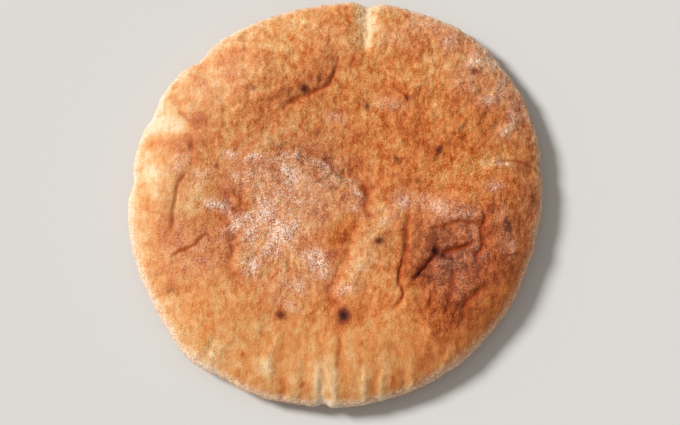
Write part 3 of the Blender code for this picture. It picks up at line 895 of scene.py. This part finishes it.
def buildCrustLooks():
    # Each look is a colour laid over the last one by a share: a stored value, times and plus some noise
    shader = tree.nodes["Principled BSDF"]
    place = addNode("TexCoord").outputs["Object"]
    browning, flour, fold, scorch, grit, wrinkles = (
        addNode("Attribute", attribute_name=name).outputs["Fac"]
        for name in ("browning", "flour", "fold", "scorch", "grit", "wrinkles")
    )

    # mottling moves the browning up and down a little, in blotches and in grain
    drawnOut = calculateVector("MULTIPLY", place, (1.25, 0.75, 1.0))
    mottle = noise(drawnOut, 2.6, 4.0, 0.65)
    grain = noise(place, 0.62, 1.0, 0.6)
    shift = spread(mottle, 0.25, 0.75, -crust["mottle"] / 2, crust["mottle"] / 2)
    shift = calculate("ADD", shift, spread(grain, 0.3, 0.7, -0.10, 0.10))
    shift = times(shift, spread(grit, 0.0, 0.55, 0.15, 1.0))
    baked = calculate("ADD", browning, shift, clamp=True)
    ramp = addNode("ValToRGB", {"Fac": baked})
    stops = ramp.color_ramp.elements
    for number, (share, colour) in enumerate(crust["doughToChar"]):
        stop = stops[number] if number < 2 else stops.new(share)
        stop.position = share
        stop.color = (*colour, 1)
    colour = ramp.outputs["Color"]

    # and lays a rosy brown over the darker blotches, less where the crust is pale
    clusters = spread(noise(place, 5.5, 3.0, 0.6), 0.40, 0.60, 0.30, 1.15)
    blotch = times(spread(mottle, 0.44, 0.64), clusters, spread(grit, 0.08, 0.55, 0.25, 1.0))
    colour = mixColour(blotch, colour, crust["blotchTint"], "MULTIPLY")
    speckle = times(spread(grain, 0.36, 0.64, 0.0, 1.45), grit, clusters)
    colour = mixColour(speckle, colour, crust["grainTint"], "MULTIPLY")

    # a broken web of soft hollows between small lumps, sunk in the bump and darkened as painted shade
    broken = spread(noise(place, 8.0), 0.42, 0.58)
    web = times(cellEdges(place, 3.2, (1.0, 0.65, 1.0), 0.45), broken, spread(grit, 0.15, 0.5))
    colour = mixColour(times(web, 0.35), colour, crust["webShadeTint"], "MULTIPLY")

    # flour lies as a thin veil, and thicker in specks and in short hairs along the edges of long cells
    specks = spread(noise(place, 0.65, 2.0, 0.7), 0.43, 0.61, -0.5, 0.85)
    upright = cellEdges(place, 1.5, (1.0, 0.35, 1.0))
    hairs = calculate("MAXIMUM", upright, cellEdges(place, 1.5, (0.4, 1.0, 1.0)))
    dusted = calculate("ADD", specks, spread(hairs, 0.0, 1.0, 0.42, 0.98))
    dusted = times(dusted, flour, clamp=True)
    dusted = calculate("MINIMUM", dusted, 0.8)
    thickness = spread(dusted, 0.1, 0.6)
    floury = mixColour(thickness, crust["thinFlourColour"], crust["flourColour"])
    colour = mixColour(dusted, colour, floury)

    # painted shade: fine dark lines in the wrinkles between the floury ridges at the plateau's edge
    arcPlace = addNode("Attribute", attribute_name="arcPlace").outputs["Vector"]
    lines = times(cellEdges(arcPlace, 1.5, (0.35, 1.1, 1.0)), wrinkles)
    colour = mixColour(times(lines, 0.66), colour, crust["wrinkleShadeColour"])

    # painted shade: the folds are dark red at the bottom, where shade falls in them
    colour = mixColour(times(fold, 0.92), colour, crust["foldShadeColour"])

    # scorched places: a dark red-brown halo, and a charred core with a crisp edge
    uneven = calculate("ADD", scorch, spread(mottle, 0.3, 0.7, -0.12, 0.12))
    halo = times(spread(uneven, 0.05, 0.6), spread(scorch, 0.02, 0.12, 0.0, 0.9))
    colour = mixColour(halo, colour, crust["spotColour"])
    colour = mixColour(spread(uneven, 0.6, 0.95, 0.0, 0.95), colour, crust["charColour"])
    tree.links.new(colour, shader.inputs["Base Color"])

    rough = spread(mottle, 0.3, 0.7, crust["roughness"] - 0.06, crust["roughness"] + 0.08)
    rough = calculate("ADD", rough, times(dusted, 0.15), clamp=True)
    tree.links.new(rough, shader.inputs["Roughness"])

    gritty = times(grain, spread(grit, 0.0, 1.0, 0.3, 0.8))
    height = calculate("ADD", times(mottle, 0.8), gritty)
    for part, share in ((dusted, 0.45), (lines, -0.8), (web, -0.55)):
        height = calculate("ADD", height, times(part, share))
    bump = addNode("Bump", {"Height": height, "Strength": 1.0, "Distance": crust["bumpHeight"]})
    tree.links.new(bump.outputs["Normal"], shader.inputs["Normal"])
    setInputs(shader, crust["constants"])


studio = {
    "floor": {"Base Color": (0.60, 0.59, 0.57, 1), "Roughness": 0.85},
    "floorDrop": 0.1,             # millimetres between the bread and the floor
    "floorRadius": 12.0,          # bread widths
    "world": {"Color": (1.0, 0.96, 0.91, 1), "Strength": 0.40},
    "keyFrom": (-4.4, 1.9, 4.0),   # where the key light comes from
    "keyAngle": 16.0,              # degrees that the lamp spans, for soft shadows
    "keyStrength": 3.86,
    "elevation": 78.0,             # degrees that the camera stands above the floor
    "lens": 135.0,
    "sensorWidth": 36.0,
    "frameWidth": 1.640,           # bread widths that the frame spans
    "aim": (0.0108, -0.0257),      # how far the frame's middle lies right of and above the bread's
}


def buildStudio():
    # A pale floor, an even sky, one soft lamp, and a camera that looks down at its elevation from where
    # the frame spans so many bread widths: their length times the lens over the sensor's width
    width = breadSize[0]
    middle = np.array([0, 0, loaf["rimHeight"] * mm])
    corners = studio["floorRadius"] * width * np.array([[-1, -1], [1, -1], [1, 1], [-1, 1]])
    points = np.column_stack([corners, np.full(4, breadLow[2] - studio["floorDrop"] * mm)])
    floor = makeMesh("floor", points, np.array([[0, 1, 2, 3]]), np.zeros((0, 3), int))
    paint = bpy.data.materials.new("paleFloor")
    paint.use_nodes = True
    setInputs(paint.node_tree.nodes["Principled BSDF"], studio["floor"])
    floor.data.materials.append(paint)

    world = bpy.data.worlds.new("studio")
    world.use_nodes = True
    setInputs(world.node_tree.nodes["Background"], studio["world"])
    bpy.context.scene.world = world

    key = bpy.data.objects.new("keyLight", bpy.data.lights.new("keyLight", "SUN"))
    key.data.angle = math.radians(studio["keyAngle"])
    key.data.energy = studio["keyStrength"]
    key.location = np.array(studio["keyFrom"]) * width
    beam = Vector(-np.array(studio["keyFrom"]))
    key.rotation_euler = beam.to_track_quat("-Z", "Y").to_euler()       # its own -Z along the beam
    bpy.context.collection.objects.link(key)

    lean = math.radians(studio["elevation"])
    up = np.array([0, math.sin(lean), math.cos(lean)])
    away = np.array([0, -math.cos(lean), math.sin(lean)])
    camera = bpy.data.objects.new("camera", bpy.data.cameras.new("camera"))
    camera.data.lens = studio["lens"]
    camera.data.sensor_width = studio["sensorWidth"]
    distance = studio["frameWidth"] * width * studio["lens"] / studio["sensorWidth"]
    right, above = studio["aim"]
    target = middle + width * (right * np.array([1, 0, 0]) + above * up)
    camera.location = target + distance * away
    camera.rotation_euler = (math.pi / 2 - lean, 0, 0)
    bpy.context.collection.objects.link(camera)
    bpy.context.scene.camera = camera
    bpy.context.scene.view_settings.view_transform = "Standard"


loafPiece = buildLoaf()
buildCrustLooks()
loafPiece.data.materials.append(crustMaterial)
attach(loafPiece, "root")
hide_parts("pita_bread")
print("loaf:", len(loafPiece.data.polygons), "faces")
buildStudio()
print("studio ready")
